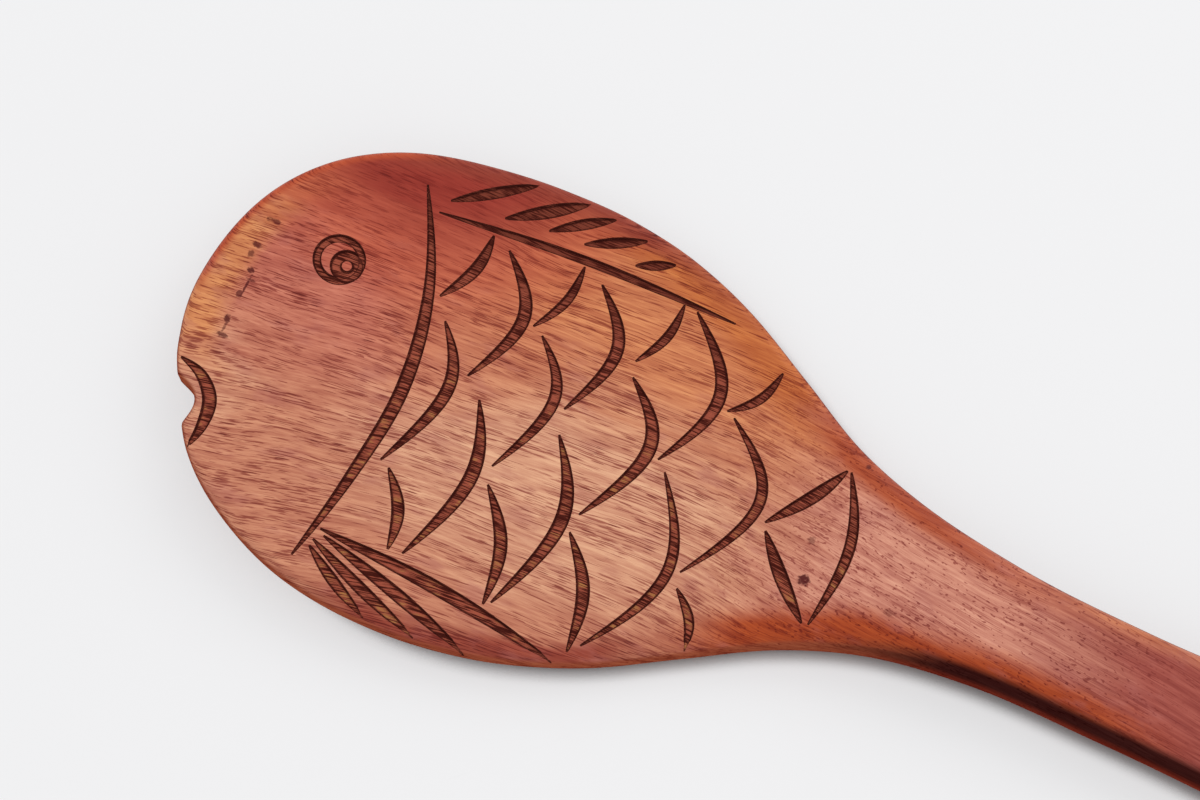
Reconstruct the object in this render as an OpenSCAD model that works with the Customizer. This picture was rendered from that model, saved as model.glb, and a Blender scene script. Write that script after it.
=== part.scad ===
// A rice spoon cut from one board in the shape of a fish, with a burnt carving on its upper face.
// X runs from the fish's nose to the handle's end, Y from its belly to its back, Z up from the table.

/* [Board] */
// Length from the fish's nose to the handle's end
spoon_l = 205; // [195:1:225]
// Length of the fish, from its nose to the start of the handle
fish_l = 100; // [92:1:108]
// Greatest width of the blade
blade_w = 65; // [58:1:72]
// Thickness in the middle of the blade
blade_t = 3.6; // [3.4:0.1:4.6]
// Thickness of the handle
handle_t = 8.5; // [7:0.25:10]

/* [Handle] */
// Width at the handle's waist
waist_w = 14.4; // [12:0.2:18]
// Width of the grip behind the waist
grip_w = 19; // [16:0.5:22]

/* [Carved shape] */
// Height of the nose's underside above the table
nose_lift = 6; // [3:0.25:9]
// Height of the blade's sides above its middle
dish_h = 1.8; // [0.8:0.1:2.6]
// Depth sanded off the underside to make it stand flat
sole_cut = 0.25; // [0.15:0.05:0.4]
// Rounding of the blade's rim
blade_round = 1.45; // [1:0.05:1.65]
// Rounding of the handle's edges
handle_round = 2.4; // [1.5:0.1:3]
// Depth of the mouth's notch in the rim
mouth_cut = 1.9; // [1:0.1:2.4]

/* [Burnt lines] */
// Depth of the lines below the upper face
line_depth = 0.6; // [0.4:0.05:0.9]
// Thickness of the burnt wood that lines them
burn_t = 0.25; // [0.15:0.05:0.35]
// Width of a plain carved line at its middle
line_w = 1.4; // [1:0.05:1.8]
// Outer radius of the eye
eye_r = 3.4; // [3:0.1:4.2]

/* [Hidden] */

wood_colour = [0.66, 0.33, 0.2];
burn_colour = [0.2, 0.1, 0.07];

half_w = blade_w / 2;

// The fish's outline: how far along it lies, then the half width toward the back and toward the belly.
// The first is a share of fish_l and the others are shares of half_w.
outline_shares = [
    [0, 0, 0],
    [0.02, 0.38, 0.3],
    [0.05, 0.56, 0.468],
    [0.1, 0.73, 0.69],
    [0.18, 0.877, 0.862],
    [0.28, 0.96, 0.972],
    [0.38, 0.997, 1],
    [0.48, 0.995, 0.975],
    [0.58, 0.94, 0.9],
    [0.68, 0.823, 0.77],
    [0.78, 0.65, 0.585],
    [0.88, 0.467, 0.405],
    [0.98, 0.348, 0.288],
    [1.12, 0.258, 0.222],
];
waist_share = 1.3;   // of fish_l
grip_share = 0.75;   // of the handle from the waist to its end

// The outline in millimetres, with the handle's two widths after the fish's.
waist_s = waist_share * fish_l;
grip_s = waist_s + grip_share * (spoon_l - waist_s);
outline_rows = concat(
    [for (row = outline_shares) [row[0] * fish_l, row[1] * half_w, row[2] * half_w]],
    [
        [waist_s, waist_w / 2, waist_w / 2],
        [grip_s, grip_w / 2, grip_w / 2],
        [spoon_l, grip_w / 2, grip_w / 2],
    ]
);
// The nose is round, so its widths run evenly over the root of the distance from the tip.
outline_knots = [for (row = outline_rows) sqrt(row[0])];
back_widths = [for (row = outline_rows) row[1]];
belly_widths = [for (row = outline_rows) row[2]];

// Where the bend meets the table, and where the neck starts and ends its rise to the handle, in shares of fish_l.
rest_share = 0.6;
neck_shares = [0.68, 1.12];

// The mouth's middle and half length, measured across the blade in shares of half_w, and how round its notch is.
mouth_share = 0.507;
mouth_reach_share = 0.09;
mouth_roundness = 1.3;

// How finely the outline is stepped.
nose_share = 0.3;    // the part of fish_l with the finer steps
nose_steps = 44;
side_steps = 38;
end_steps = 6;
edge_steps = 3;      // steps of each quarter round along an edge
cross_steps = 4;     // steps across each face
stroke_steps = 8;    // steps along a carved line of three points
tip_share = 0.12;    // a line's width at its tips, as a share of its middle
taper = 0.8;         // how soon a line widens from its tips: 1 is slow, 0 at once

// The eye's place in shares of fish_l and half_w, and its parts in shares of eye_r.
eye_shares = [0.153, 0.305];
eye_ring_share = 0.28;
iris_shares = [0.38, -0.1];
iris_r_share = 0.66;
pupil_r_share = 0.22;

function clamp(u) = min(1, max(0, u));
function ease(u) = let (v = clamp(u)) v * v * (3 - 2 * v);
function mix(a, b, u) = a + (b - a) * u;

// A smooth curve through values given at rising knots.
function knot_slope(knots, values, i) =
    let (last = len(knots) - 1)
    i == 0 ? 1.5 * (values[1] - values[0]) / (knots[1] - knots[0]) - 0.5 * knot_slope(knots, values, 1)
    : i == last ? 1.5 * (values[last] - values[last - 1]) / (knots[last] - knots[last - 1])
        - 0.5 * knot_slope(knots, values, last - 1)
    : let (
        before = knots[i] - knots[i - 1],
        after = knots[i + 1] - knots[i]
    )
    ((values[i] - values[i - 1]) / before * after + (values[i + 1] - values[i]) / after * before)
        / (before + after);
function knot_before(knots, x, i = 0) =
    i >= len(knots) - 2 || x <= knots[i + 1] ? i : knot_before(knots, x, i + 1);
function curve(knots, values, x) =
    let (
        i = knot_before(knots, x),
        span = knots[i + 1] - knots[i],
        u = (x - knots[i]) / span,
        a = knot_slope(knots, values, i) * span,
        b = knot_slope(knots, values, i + 1) * span
    )
    values[i] + a * u + (3 * (values[i + 1] - values[i]) - 2 * a - b) * u ^ 2
        + (2 * (values[i] - values[i + 1]) + a + b) * u ^ 3;

// Stations from the nose to the handle's end. The end is a half round as deep as half the grip's width.
end_r = grip_w / 2;
nose_l = nose_share * fish_l;
side_l = spoon_l - end_r - nose_l;
stations = concat(
    [for (i = [1:nose_steps]) nose_l * (i / nose_steps) ^ 2],
    [for (i = [1:side_steps]) nose_l + side_l * i / side_steps],
    [for (i = [1:end_steps - 1]) spoon_l - end_r + end_r * sin(90 * i / end_steps)]
);
function end_round(s) = sqrt(1 - clamp((s - spoon_l + end_r) / end_r) ^ 2);
function half_width(widths, s) = curve(outline_knots, widths, sqrt(s)) * end_round(s);

// The outline as one closed run of points: nose, back, handle's end, belly.
station_count = len(stations);
plain_outline = concat(
    [[0, 0]],
    [for (s = stations) [s, half_width(back_widths, s)]],
    [[spoon_l, 0]],
    [for (i = [station_count - 1:-1:0]) [stations[i], -half_width(belly_widths, stations[i])]]
);
point_count = len(plain_outline);

function inward(points, i) =
    let (
        count = len(points),
        run = points[(i + 1) % count] - points[(i + count - 1) % count]
    )
    [run[1], -run[0]] / norm(run);

// The mouth is a notch in the rim on the belly's side of the nose, round at its bottom and crisp at its corners.
function mouth_dent(point) =
    let (away = clamp(abs(point[1] / half_w + mouth_share) / mouth_reach_share))
    point[0] > nose_l ? 0 : mouth_cut * (1 - away ^ 2) ^ mouth_roundness;
outline = [
    for (i = [0:point_count - 1])
        plain_outline[i] + mouth_dent(plain_outline[i]) * inward(plain_outline, i)
];

// Heights of the two faces. Both follow the bent board, and the underside is sanded flat where it stands.
function bent(s, t) =
    nose_lift * clamp(1 - s / (rest_share * fish_l)) ^ 2 + dish_h * (t / half_w) ^ 2;
function neck(s) = ease((s / fish_l - neck_shares[0]) / (neck_shares[1] - neck_shares[0]));
function lower_z(s, t) = max(0, bent(s, t) - sole_cut);
function upper_z(s, t) = bent(s, t) + mix(blade_t, handle_t, neck(s));
function edge_r(s) = mix(blade_round, handle_round, neck(s));

// Rings round the rim, from the underside's inner edge over the wall to the upper face's inner edge.
function rim_point(i, angle, above) =
    let (
        point = outline[i],
        way = inward(outline, i),
        r = edge_r(point[0]),
        core = point + way * r,
        z = above ? upper_z(core[0], core[1]) - r : lower_z(core[0], core[1]) + r,
        at = core - way * r * cos(angle)
    )
    [at[0], at[1], z + r * sin(angle)];
rings = concat(
    [for (j = [0:edge_steps]) [for (i = [0:point_count - 1]) rim_point(i, -90 + 90 * j / edge_steps, false)]],
    [for (j = [0:edge_steps]) [for (i = [0:point_count - 1]) rim_point(i, 90 * j / edge_steps, true)]]
);
ring_count = len(rings);

// Points inside each face, row by row between the back's and the belly's rim.
function face_row(ring, i, above) = [
    for (k = [1:cross_steps - 1])
        let (
            a = ring[i],
            b = ring[point_count - i],
            at = mix(a, b, k / cross_steps)
        )
        [at[0], at[1], above ? upper_z(at[0], at[1]) : lower_z(at[0], at[1])]
];
board_points = concat(
    [for (ring = rings) each ring],
    [for (i = [1:station_count]) each face_row(rings[0], i, false)],
    [for (i = [1:station_count]) each face_row(rings[ring_count - 1], i, true)]
);

function ring_at(j, i) = j * point_count + i % point_count;
// One point of a face's grid: row i from the nose, step k from the back's rim to the belly's.
function face_at(above, i, k) =
    let (j = above ? ring_count - 1 : 0)
    k == 0 ? ring_at(j, i)
    : k == cross_steps ? ring_at(j, point_count - i)
    : ring_count * point_count + (above ? station_count : 0) * (cross_steps - 1)
        + (i - 1) * (cross_steps - 1) + k - 1;
function turned(face, above) = above ? face : [for (i = [len(face) - 1:-1:0]) face[i]];
function face_triangles(above) = concat(
    [
        for (i = [1:station_count - 1], k = [0:cross_steps - 1])
            each [
                turned([face_at(above, i, k), face_at(above, i + 1, k), face_at(above, i, k + 1)], above),
                turned([face_at(above, i + 1, k), face_at(above, i + 1, k + 1), face_at(above, i, k + 1)], above),
            ]
    ],
    [
        for (k = [0:cross_steps - 1])
            each [
                turned([face_at(above, 0, 0), face_at(above, 1, k), face_at(above, 1, k + 1)], above),
                turned([
                    face_at(above, station_count, k),
                    face_at(above, station_count + 1, 0),
                    face_at(above, station_count, k + 1),
                ], above),
            ]
    ]
);
rim_triangles = [
    for (j = [0:ring_count - 2], i = [0:point_count - 1])
        each [
            [ring_at(j, i), ring_at(j, i + 1), ring_at(j + 1, i)],
            [ring_at(j, i + 1), ring_at(j + 1, i + 1), ring_at(j + 1, i)],
        ]
];

// The uncarved board, with its nose at zero.
module board() {
    polyhedron(board_points, concat(rim_triangles, face_triangles(true), face_triangles(false)));
}

// The carved lines, each as evenly spaced points from tip to tip and its width in its middle.
// The points are shares of fish_l along and of half_w across, and the width is a share of line_w.
mouth_shares = [
    [[[0.035, -0.353], [0.068, -0.381], [0.093, -0.457], [0.101, -0.565], [0.098, -0.672]], 1.2],
];
gill_shares = [
    [[[0.211, 0.755], [0.275, 0.36], [0.304, -0.06], [0.298, -0.48], [0.28, -0.88]], 1.25],
];
// The fin's root first, then its rays from the head back.
back_fin_shares = [
    [[[0.241, 0.67], [0.447, 0.745], [0.661, 0.75]], 0.8],
    [[[0.248, 0.735], [0.296, 0.845], [0.342, 0.94]], 1.05],
    [[[0.323, 0.765], [0.372, 0.87], [0.415, 0.96]], 1.25],
    [[[0.383, 0.795], [0.421, 0.88], [0.456, 0.945]], 1],
    [[[0.433, 0.805], [0.471, 0.865], [0.508, 0.92]], 1],
    [[[0.507, 0.81], [0.532, 0.845], [0.556, 0.88]], 0.9],
];
// The scales in rows from the gill to the tail, from the back down to the belly.
scale_shares = [
    [[[0.32, 0.68], [0.318, 0.515], [0.292, 0.35]], 1.1],
    [[[0.313, 0.265], [0.357, 0.01], [0.322, -0.375]], 1.15],
    [[[0.336, -0.39], [0.372, -0.53], [0.384, -0.695]], 1.1],
    [[[0.347, 0.65], [0.404, 0.415], [0.372, 0.095]], 1.2],
    [[[0.4, 0.025], [0.436, -0.285], [0.403, -0.685]], 1.25],
    [[[0.447, 0.72], [0.445, 0.555], [0.42, 0.4]], 0.85],
    [[[0.436, 0.38], [0.488, 0.15], [0.454, -0.205]], 1.05],
    [[[0.46, -0.28], [0.51, -0.485], [0.524, -0.735]], 1.15],
    [[[0.478, 0.68], [0.534, 0.45], [0.505, 0.135]], 1.15],
    [[[0.514, 0.03], [0.566, -0.29], [0.532, -0.715]], 1.25],
    [[[0.589, 0.74], [0.586, 0.585], [0.562, 0.44]], 0.85],
    [[[0.568, 0.375], [0.628, 0.13], [0.583, -0.24]], 1.25],
    [[[0.582, -0.32], [0.631, -0.52], [0.646, -0.77]], 1.15],
    [[[0.608, 0.735], [0.682, 0.45], [0.644, 0.1]], 1.15],
    [[[0.659, 0.065], [0.717, -0.31], [0.658, -0.725]], 1],
    [[[0.745, 0.635], [0.732, 0.5], [0.699, 0.4]], 0.85],
    [[[0.711, 0.385], [0.787, 0.105], [0.732, -0.29]], 1],
    [[[0.737, -0.355], [0.768, -0.455], [0.779, -0.575]], 0.85],
];
belly_fin_shares = [
    [[[0.296, -0.735], [0.468, -0.755], [0.63, -0.8]], 1.25],
    [[[0.304, -0.76], [0.422, -0.845], [0.528, -0.92]], 1.15],
    [[[0.294, -0.785], [0.378, -0.885], [0.46, -0.945]], 1.05],
    [[[0.294, -0.815], [0.343, -0.905], [0.392, -0.965]], 0.95],
];
tail_shares = [
    [[[0.804, 0.03], [0.846, 0.195], [0.874, 0.35]], 1.2],
    [[[0.879, 0.35], [0.916, 0.055], [0.907, -0.295]], 0.95],
    [[[0.809, 0], [0.852, -0.155], [0.899, -0.3]], 1.2],
];

// Carved lines are chains of discs, widest in the middle and thinning to both tips.
module lines(rows) {
    for (row = rows) {
        last = len(row[0]) - 1;
        knots = [for (i = [0:last]) i / last];
        xs = [for (share = row[0]) share[0] * fish_l];
        ys = [for (share = row[0]) share[1] * half_w];
        steps = stroke_steps * last / 2;
        for (i = [0:steps - 1]) {
            hull() {
                for (u = [i / steps, (i + 1) / steps]) {
                    translate([curve(knots, xs, u), curve(knots, ys, u)])
                        circle(row[1] * line_w / 2 * mix(tip_share, 1, sin(180 * u) ^ taper), $fn = 16);
                }
            }
        }
    }
}

// The eye is a burnt ring with a burnt iris against its far side, and a bare dot inside the iris.
module eye() {
    translate([eye_shares[0] * fish_l, eye_shares[1] * half_w]) {
        difference() {
            circle(eye_r, $fn = 48);
            circle(eye_r * (1 - eye_ring_share), $fn = 48);
        }
        translate(iris_shares * eye_r) {
            difference() {
                circle(eye_r * iris_r_share, $fn = 32);
                circle(eye_r * pupil_r_share, $fn = 16);
            }
        }
    }
}

// Everything under a carved shape, down to halfway through the board.
module column() {
    translate([0, 0, blade_t / 2]) linear_extrude(nose_lift + handle_t) children();
}

// A carved shape's burnt lining: a skin of burn_t on the floor of its groove.
module burn() {
    translate([-spoon_l / 2, 0, 0]) color(burn_colour) difference() {
        intersection() {
            column() children();
            translate([0, 0, burn_t - line_depth]) board();
        }
        translate([0, 0, -line_depth]) board();
    }
}

module paddle() {
    translate([-spoon_l / 2, 0, 0]) color(wood_colour) difference() {
        board();
        difference() {
            column() {
                eye();
                lines(mouth_shares);
                lines(gill_shares);
                lines(back_fin_shares);
                lines(scale_shares);
                lines(belly_fin_shares);
                lines(tail_shares);
            }
            translate([0, 0, -line_depth]) board();
        }
    }
}

module eye_burn() { burn() eye(); }
module mouth_burn() { burn() lines(mouth_shares); }
module gill_burn() { burn() lines(gill_shares); }
module back_fin_burn() { burn() lines(back_fin_shares); }
module scale_burn() { burn() lines(scale_shares); }
module belly_fin_burn() { burn() lines(belly_fin_shares); }
module tail_burn() { burn() lines(tail_shares); }

paddle();
eye_burn();
mouth_burn();
gill_burn();
back_fin_burn();
scale_burn();
belly_fin_burn();
tail_burn();
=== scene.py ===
"""A rice spoon cut from one board in the shape of a fish, carved, burnt and lacquered, on a pale table."""

import math

import bmesh
import bpy
import numpy as np
from bpy.props import FloatProperty, FloatVectorProperty, PointerProperty
from bpy.types import Operator, Panel, PropertyGroup
from mathutils import Matrix, Vector


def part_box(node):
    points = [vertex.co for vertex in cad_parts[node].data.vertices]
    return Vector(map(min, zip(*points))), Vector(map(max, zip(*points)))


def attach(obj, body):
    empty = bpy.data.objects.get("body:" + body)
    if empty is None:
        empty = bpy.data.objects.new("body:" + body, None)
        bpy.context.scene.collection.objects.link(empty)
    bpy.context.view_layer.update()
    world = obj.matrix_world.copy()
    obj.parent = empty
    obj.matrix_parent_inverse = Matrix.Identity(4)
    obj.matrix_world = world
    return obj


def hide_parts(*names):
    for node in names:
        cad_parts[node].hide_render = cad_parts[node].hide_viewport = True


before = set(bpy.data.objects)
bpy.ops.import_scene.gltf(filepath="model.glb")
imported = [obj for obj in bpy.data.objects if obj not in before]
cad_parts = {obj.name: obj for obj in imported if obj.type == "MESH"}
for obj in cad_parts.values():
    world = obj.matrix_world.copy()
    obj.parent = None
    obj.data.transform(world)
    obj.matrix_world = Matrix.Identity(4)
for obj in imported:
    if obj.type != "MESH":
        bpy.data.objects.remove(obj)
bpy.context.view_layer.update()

bl_info = {
    "name": "Fish rice spoon",
    "version": (1, 0, 0),
    "blender": (4, 5, 0),
    "location": "3D View > Sidebar > Spoon",
    "description": "Builds a fish-shaped wooden rice spoon with burnt carving around its packed frame",
    "category": "Add Mesh",
}

MM = 0.001

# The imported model's own sizes
paddle_low, paddle_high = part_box("paddle")
PACKED_LENGTH = (paddle_high.x - paddle_low.x) / MM
PACKED_WIDTH = (paddle_high.y - paddle_low.y) / MM

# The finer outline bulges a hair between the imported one's corners, so it is drawn in by as much
WIDTH_SHARE = 0.9985

# The outline: how far along the fish, then the half width toward the back and toward the belly
OUTLINE_SHARES = np.array([
    [0, 0, 0],
    [0.02, 0.38, 0.3],
    [0.05, 0.56, 0.468],
    [0.1, 0.73, 0.69],
    [0.18, 0.877, 0.862],
    [0.28, 0.96, 0.972],
    [0.38, 0.997, 1],
    [0.48, 0.995, 0.975],
    [0.58, 0.94, 0.9],
    [0.68, 0.823, 0.77],
    [0.78, 0.65, 0.585],
    [0.88, 0.467, 0.405],
    [0.98, 0.348, 0.288],
    [1.12, 0.258, 0.222],
])

# The waist, the neck's two ends and the place where the blade starts to rise, as shares of the fish's length,
# and the start of the grip as a share of the handle behind the waist
WAIST_SHARE = 1.3
NECK_SHARES = (0.68, 1.12)
REST_SHARE = 0.6
GRIP_SHARE = 0.75

# The mouth's notch: its place and its reach as shares of half the blade's width, the power that rounds it,
# and the share of the rim's rounding that is left at its corners
MOUTH_SHARE = 0.507
MOUTH_REACH_SHARE = 0.09
MOUTH_ROUNDNESS = 1.3
MOUTH_EDGE_SHARE = 0.4

# How finely the board is stepped, and how many points at a time are measured to its outline
NOSE_SHARE = 0.3
NOSE_STEPS = 120
SIDE_STEPS = 276
END_STEPS = 24
EDGE_STEPS = 6
CROSS_STEPS = 40
POINTS_AT_ONCE = 2000

# The carved lines: evenly spaced points from tip to tip, then the width at the middle.
# The points are shares of the fish's length and of half the blade's width, the width a share of a plain line.
MOUTH_LINES = [
    ([(0.035, -0.353), (0.068, -0.381), (0.093, -0.457), (0.101, -0.565), (0.098, -0.672)], 1.2),
]
GILL_LINES = [
    ([(0.211, 0.755), (0.275, 0.36), (0.304, -0.06), (0.298, -0.48), (0.28, -0.88)], 1.25),
]
BACK_FIN_LINES = [
    ([(0.241, 0.67), (0.447, 0.745), (0.661, 0.75)], 0.8),
    ([(0.248, 0.735), (0.296, 0.845), (0.345, 0.955)], 1.05),
    ([(0.323, 0.765), (0.372, 0.87), (0.418, 0.972)], 1.25),
    ([(0.383, 0.795), (0.421, 0.88), (0.458, 0.955)], 1),
    ([(0.433, 0.805), (0.471, 0.865), (0.508, 0.925)], 1),
    ([(0.507, 0.81), (0.532, 0.845), (0.556, 0.88)], 0.9),
]
SCALE_LINES = [
    ([(0.32, 0.68), (0.318, 0.515), (0.292, 0.35)], 1.1),
    ([(0.313, 0.265), (0.357, 0.01), (0.322, -0.375)], 1.15),
    ([(0.336, -0.39), (0.372, -0.53), (0.384, -0.695)], 1.1),
    ([(0.347, 0.65), (0.404, 0.415), (0.372, 0.095)], 1.2),
    ([(0.4, 0.025), (0.436, -0.285), (0.403, -0.685)], 1.25),
    ([(0.447, 0.72), (0.445, 0.555), (0.42, 0.4)], 0.85),
    ([(0.436, 0.38), (0.488, 0.15), (0.454, -0.205)], 1.05),
    ([(0.46, -0.28), (0.51, -0.485), (0.524, -0.735)], 1.15),
    ([(0.478, 0.68), (0.534, 0.45), (0.505, 0.135)], 1.15),
    ([(0.514, 0.03), (0.566, -0.29), (0.532, -0.715)], 1.25),
    ([(0.589, 0.74), (0.586, 0.585), (0.562, 0.44)], 0.85),
    ([(0.568, 0.375), (0.628, 0.13), (0.583, -0.24)], 1.25),
    ([(0.582, -0.32), (0.631, -0.52), (0.646, -0.77)], 1.15),
    ([(0.608, 0.735), (0.682, 0.45), (0.644, 0.1)], 1.15),
    ([(0.659, 0.065), (0.717, -0.31), (0.658, -0.725)], 1),
    ([(0.745, 0.635), (0.732, 0.5), (0.699, 0.4)], 0.85),
    ([(0.711, 0.385), (0.787, 0.105), (0.732, -0.29)], 1),
    ([(0.737, -0.355), (0.768, -0.455), (0.779, -0.575)], 0.85),
]
BELLY_FIN_LINES = [
    ([(0.296, -0.735), (0.468, -0.755), (0.634, -0.83)], 1.25),
    ([(0.304, -0.755), (0.422, -0.845), (0.53, -0.945)], 1.15),
    ([(0.294, -0.785), (0.378, -0.885), (0.464, -0.972)], 1.05),
    ([(0.294, -0.815), (0.343, -0.905), (0.397, -0.985)], 0.95),
]
TAIL_LINES = [
    ([(0.804, 0.03), (0.846, 0.195), (0.874, 0.35)], 1.2),
    ([(0.879, 0.35), (0.916, 0.055), (0.907, -0.295)], 0.95),
    ([(0.809, 0), (0.852, -0.155), (0.899, -0.3)], 1.2),
]
LINE_GROUPS = {
    "mouth": MOUTH_LINES,
    "gill": GILL_LINES,
    "back_fin": BACK_FIN_LINES,
    "scale": SCALE_LINES,
    "belly_fin": BELLY_FIN_LINES,
    "tail": TAIL_LINES,
}

# A carved line: its steps between two points, the share of its width at its tips, and the power of its taper
LINE_STEPS = 24
TIP_SHARE = 0.04
TAPER = 0.8

# The eye: its place, then its parts as shares of its radius
EYE_SHARES = (0.153, 0.305)
EYE_RING_SHARE = 0.28
IRIS_SHARES = (0.37, -0.1)
IRIS_R_SHARE = 0.63
PUPIL_R_SHARE = 0.22
EYE_STEPS = 96


def in_mm(size):
    """A size of the sidebar in millimetres."""
    return size / MM


def ease(u):
    """A smooth step from 0 to 1, 3u^2 - 2u^3."""
    v = np.clip(u, 0, 1)
    return v * v * (3 - 2 * v)


def mix(a, b, u):
    """The value a share u of the way from a to b."""
    return a + (b - a) * u


def knot_slopes(knots, values):
    """Slopes of a smooth curve at its knots.

    Inside, each is a weighted mean of the rises beside it. The two at the ends carry on the bend.
    """
    spans = np.diff(knots)
    rises = np.diff(values) / spans
    slopes = np.empty(len(knots))
    slopes[1:-1] = (rises[:-1] * spans[1:] + rises[1:] * spans[:-1]) / (spans[:-1] + spans[1:])
    slopes[0] = 1.5 * rises[0] - 0.5 * slopes[1]
    slopes[-1] = 1.5 * rises[-1] - 0.5 * slopes[-2]
    return slopes


def smooth_curve(knots, values, at):
    """A cubic between each two knots that meets their values and slopes."""
    slopes = knot_slopes(knots, values)
    i = np.clip(np.searchsorted(knots, at) - 1, 0, len(knots) - 2)
    span = knots[i + 1] - knots[i]
    u = (at - knots[i]) / span
    rise = values[i + 1] - values[i]
    a = slopes[i] * span
    b = slopes[i + 1] * span
    return values[i] + a * u + (3 * rise - 2 * a - b) * u**2 + (a + b - 2 * rise) * u**3


def inward(points):
    """Unit directions into a closed outline that runs clockwise: each neighbours' chord turned a quarter."""
    run = np.roll(points, -1, axis=0) - np.roll(points, 1, axis=0)
    way = np.stack([run[:, 1], -run[:, 0]], axis=1)
    return way / np.linalg.norm(way, axis=1, keepdims=True)


class Board:
    """The uncarved spoon in millimetres.

    Plan points are (s, t): s runs from the nose to the handle's end, and t from the belly to the back.
    """

    def __init__(self, sizes):
        self.length = in_mm(sizes.length)
        self.fish = in_mm(sizes.fish_length)
        self.half_width = in_mm(sizes.blade_width) / 2
        self.blade_thickness = in_mm(sizes.blade_thickness)
        self.handle_thickness = in_mm(sizes.handle_thickness)
        self.grip_width = in_mm(sizes.grip_width)
        self.nose_lift = in_mm(sizes.nose_lift)
        self.dish = in_mm(sizes.dish_height)
        self.sole_cut = in_mm(sizes.sole_cut)
        self.blade_rounding = in_mm(sizes.blade_rounding)
        self.handle_rounding = in_mm(sizes.handle_rounding)
        self.mouth_cut = in_mm(sizes.mouth_cut)
        self.nose = NOSE_SHARE * self.fish
        self.outline = self.find_outline(in_mm(sizes.waist_width))
        self.ways = inward(self.outline)

    def find_outline(self, waist_width):
        """The plan as one closed run of points: nose, back, handle's end, belly.

        Each side's half width is a smooth curve over the root of s, and a half circle as wide as the grip
        ends it.
        """
        waist = WAIST_SHARE * self.fish
        grip = waist + GRIP_SHARE * (self.length - waist)
        end_r = self.grip_width / 2
        knots = np.sqrt(np.concatenate([OUTLINE_SHARES[:, 0] * self.fish, [waist, grip, self.length]]))
        handle = np.array([waist_width / 2, end_r, end_r])
        side = self.length - end_r - self.nose
        steps = np.arange(1, END_STEPS) / END_STEPS
        self.stations = np.concatenate([
            self.nose * (np.arange(1, NOSE_STEPS + 1) / NOSE_STEPS) ** 2,
            self.nose + side * np.arange(1, SIDE_STEPS + 1) / SIDE_STEPS,
            self.length - end_r + end_r * np.sin(math.pi / 2 * steps),
        ])
        round_off = np.sqrt(1 - np.clip((self.stations - self.length + end_r) / end_r, 0, 1) ** 2)
        sides = []
        for column, sign in ((1, 1), (2, -1)):
            widths = np.concatenate([OUTLINE_SHARES[:, column] * self.half_width, handle])
            across = smooth_curve(knots, widths, np.sqrt(self.stations)) * round_off
            sides.append(np.stack([self.stations, sign * across], axis=1))
        plain = np.concatenate([[[0, 0]], sides[0], [[self.length, 0]], sides[1][::-1]])
        return plain + self.mouth_dent(plain)[:, None] * inward(plain)

    def near_mouth(self, points, reach):
        """How near a point of the nose is to the mouth's middle: 1 there, 0 a reach in half widths away."""
        away = np.clip(np.abs(points[..., 1] / self.half_width + MOUTH_SHARE) / reach, 0, 1)
        return np.where(points[..., 0] <= self.nose, 1 - away, 0)

    def mouth_dent(self, points):
        """How deep the rim is notched: m (1 - a^2)^r, round at the bottom and crisp at its corners."""
        away = 1 - self.near_mouth(points, MOUTH_REACH_SHARE)
        return self.mouth_cut * (1 - away**2) ** MOUTH_ROUNDNESS

    def bent(self, plan):
        """Height of the bent board: a parabola up to the nose and one up to each side."""
        lift = np.clip(1 - plan[..., 0] / (REST_SHARE * self.fish), 0, 1) ** 2
        return self.nose_lift * lift + self.dish * (plan[..., 1] / self.half_width) ** 2

    def neck(self, plan):
        """How far the neck has risen to the handle, from 0 to 1."""
        start, end = NECK_SHARES
        return ease((plan[..., 0] / self.fish - start) / (end - start))

    def lower(self, plan):
        """Height of the underside, which is sanded flat where it stands."""
        return np.maximum(0, self.bent(plan) - self.sole_cut)

    def upper(self, plan):
        """Height of the upper face, before its edges are rounded."""
        return self.bent(plan) + mix(self.blade_thickness, self.handle_thickness, self.neck(plan))

    def rounding(self, plan):
        """Radius of the edge: it grows along the neck, and is smaller round the mouth's corners."""
        radius = mix(self.blade_rounding, self.handle_rounding, self.neck(plan))
        return radius * mix(1, MOUTH_EDGE_SHARE, ease(2 * self.near_mouth(plan, 3 * MOUTH_REACH_SHARE)))

    def inside(self, plan):
        """Distance of each plan point to the nearest piece of the outline."""
        flat = plan.reshape(-1, 2)
        ends = np.roll(self.outline, -1, axis=0) - self.outline
        squares = (ends**2).sum(axis=1)
        found = []
        for part in np.array_split(flat, max(1, len(flat) // POINTS_AT_ONCE)):
            away = part[:, None] - self.outline[None]
            u = np.clip((away * ends).sum(axis=2) / squares, 0, 1)
            found.append(np.linalg.norm(away - u[..., None] * ends, axis=2).min(axis=1))
        return np.concatenate(found).reshape(plan.shape[:-1])

    def surface(self, plan):
        """Height of the upper face with its edge, which is a quarter circle close to the outline."""
        radius = self.rounding(plan)
        short = radius - np.minimum(self.inside(plan), radius)
        return self.upper(plan) - radius + np.sqrt(radius**2 - short**2)

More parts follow.
